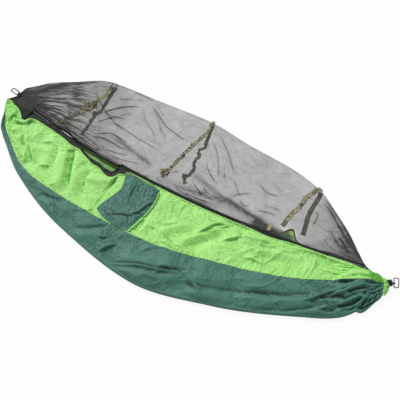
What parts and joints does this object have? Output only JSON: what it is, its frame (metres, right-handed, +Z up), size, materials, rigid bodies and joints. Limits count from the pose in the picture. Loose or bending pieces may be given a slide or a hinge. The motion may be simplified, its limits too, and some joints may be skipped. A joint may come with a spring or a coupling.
{
  "type": "double hammock with mosquito net",
  "caption": "Double cloth hammock with a zipped mosquito net canopy, stuff sack and carabiners, laid flat on its side.",
  "frame": {"origin": "middle of the laid hammock's box, on the floor", "axes": "+X along the hammock, +Y from the folded bottom of the cloth to the net's ridge, +Z up from the floor"},
  "size_m": [2.7059, 1.2041, 0.0524],
  "materials": {
    "dark_green_nylon": "dark green nylon taffeta with a slight sheen",
    "light_green_nylon": "light green nylon taffeta with a slight sheen",
    "mosquito_net": "fine dark olive mesh",
    "camouflage_tape": "matt woven tape with plain khaki blotches",
    "zip_tape": "matt black zip tape and coil",
    "plated_steel": "plated steel, satin",
    "black_rope": "matt black braided rope",
    "tan_webbing": "matt tan woven webbing"
  },
  "bodies": {
    "hammock": {"centre_panel": "dark_green_nylon", "side_panel_near": "light_green_nylon", "side_panel_far": "light_green_nylon", "gather_left": "light_green_nylon", "gather_right": "light_green_nylon", "net_near": "mosquito_net", "net_far": "mosquito_net", "far_edge_binding": "dark_green_nylon", "canopy_tape_near_1": "camouflage_tape", "canopy_tape_near_2": "camouflage_tape", "canopy_tape_near_3": "camouflage_tape", "canopy_tape_far_1": "camouflage_tape", "canopy_tape_far_2": "camouflage_tape", "canopy_tape_far_3": "camouflage_tape", "ridge_loop_1": "camouflage_tape", "ridge_loop_2": "camouflage_tape", "ridge_loop_3": "camouflage_tape", "zip_tape_hammock": "zip_tape", "zip_tape_net": "zip_tape", "zip_stop_left": "plated_steel", "zip_stop_right": "plated_steel", "webbing_tab": "tan_webbing", "rope_winding_left": "black_rope", "rope_winding_right": "black_rope", "rope_loop_left": "black_rope", "rope_loop_right": "black_rope"},
    "carabiner_left": {"carabiner_left": "plated_steel", "gate_pin_left": "plated_steel"},
    "gate_left": {"carabiner_gate_left": "plated_steel"},
    "carabiner_right": {"carabiner_right": "plated_steel", "gate_pin_right": "plated_steel"},
    "gate_right": {"carabiner_gate_right": "plated_steel"},
    "slider_left": {"slider_left": "plated_steel"},
    "pull_tab_left": {"slider_left_pull_tab": "plated_steel"},
    "slider_right": {"slider_right": "plated_steel"},
    "pull_tab_right": {"slider_right_pull_tab": "plated_steel"},
    "sack": {"sack_back": "light_green_nylon", "sack_front": "dark_green_nylon", "sack_drawcord": "black_rope"}
  },
  "joints": [
    {"name": "carabiner_left_swing", "type": "hinge", "parent": "hammock", "child": "carabiner_left", "pos_m": [-1.29186, 0.13118, 0.0095], "axis": [0, 0, 1], "range_deg": [-60, 0]},
    {"name": "gate_left_hinge", "type": "hinge", "parent": "carabiner_left", "child": "gate_left", "pos_m": [-1.30653, 0.11841, 0.0095], "axis": [0, 0, -1], "range_deg": [0, 22], "stiffness_Nm_per_rad": 0.02, "springref_deg": -17.19},
    {"name": "carabiner_right_swing", "type": "hinge", "parent": "hammock", "child": "carabiner_right", "pos_m": [1.31934, 0.14983, 0.0095], "axis": [0, 0, 1], "range_deg": [-20, 40]},
    {"name": "gate_right_hinge", "type": "hinge", "parent": "carabiner_right", "child": "gate_right", "pos_m": [1.34782, 0.14907, 0.0095], "axis": [0, 0, 1], "range_deg": [0, 22], "stiffness_Nm_per_rad": 0.02, "springref_deg": -17.19},
    {"name": "slider_left_travel", "type": "hinge", "parent": "hammock", "child": "slider_left", "pos_m": [-0.2419, 6.4535, 0.04145], "axis": [0, 0, 1], "range_deg": [-1.65, 1.93]},
    {"name": "pull_tab_left_hinge", "type": "hinge", "parent": "slider_left", "child": "pull_tab_left", "pos_m": [-0.9099, 0.02813, 0.0451], "axis": [-0.1034, -0.9946, 0], "range_deg": [0, 165]},
    {"name": "slider_right_travel", "type": "hinge", "parent": "hammock", "child": "slider_right", "pos_m": [-0.2419, 6.4535, 0.04145], "axis": [0, 0, 1], "range_deg": [-1.97, 13.4]},
    {"name": "pull_tab_right_hinge", "type": "hinge", "parent": "slider_right", "child": "pull_tab_right", "pos_m": [-0.3939, -0.00471, 0.0451], "axis": [0.0235, 0.9997, 0], "range_deg": [0, 165]},
    {"name": "sack_flip", "type": "hinge", "parent": "hammock", "child": "sack", "pos_m": [-0.2369, -0.025, 0.0418], "axis": [-1, 0, 0], "range_deg": [0, 100]}
  ]
}
